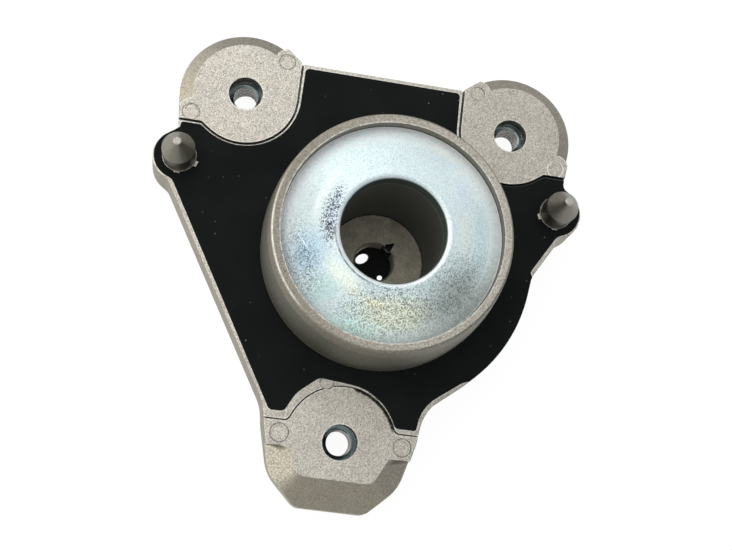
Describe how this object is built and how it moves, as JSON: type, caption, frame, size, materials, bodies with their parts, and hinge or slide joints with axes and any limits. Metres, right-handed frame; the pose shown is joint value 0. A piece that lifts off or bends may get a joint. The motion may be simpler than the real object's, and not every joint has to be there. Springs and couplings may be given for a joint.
{
  "type": "strut mount",
  "caption": "Cast strut top mount with a raised dome, rubber bush, pressed cover washer, three threaded bosses and locating pegs.",
  "frame": {"origin": "on the strut rod's axis, in the plane of the three bolt seats", "axes": "+Z along the rod axis towards the strut tower, +Y along the flange's line of symmetry towards its straight edge, +X to the right"},
  "size_m": [0.1548, 0.1635, 0.0561],
  "materials": {
    "cast_alloy": "as cast, fine grain",
    "pad_rubber": "smooth matt",
    "zinc_steel": "zinc plated, spangled",
    "bush_rubber": "moulded, satin",
    "core_steel": "oiled, mottled",
    "insert_steel": "zinc plated"
  },
  "bodies": {
    "root": {"housing": "cast_alloy", "flange_pad": "pad_rubber", "cover_washer": "zinc_steel", "rubber_bush": "bush_rubber", "inner_core": "core_steel", "insert_left": "insert_steel", "insert_right": "insert_steel", "insert_lower": "insert_steel"}
  },
  "joints": []
}
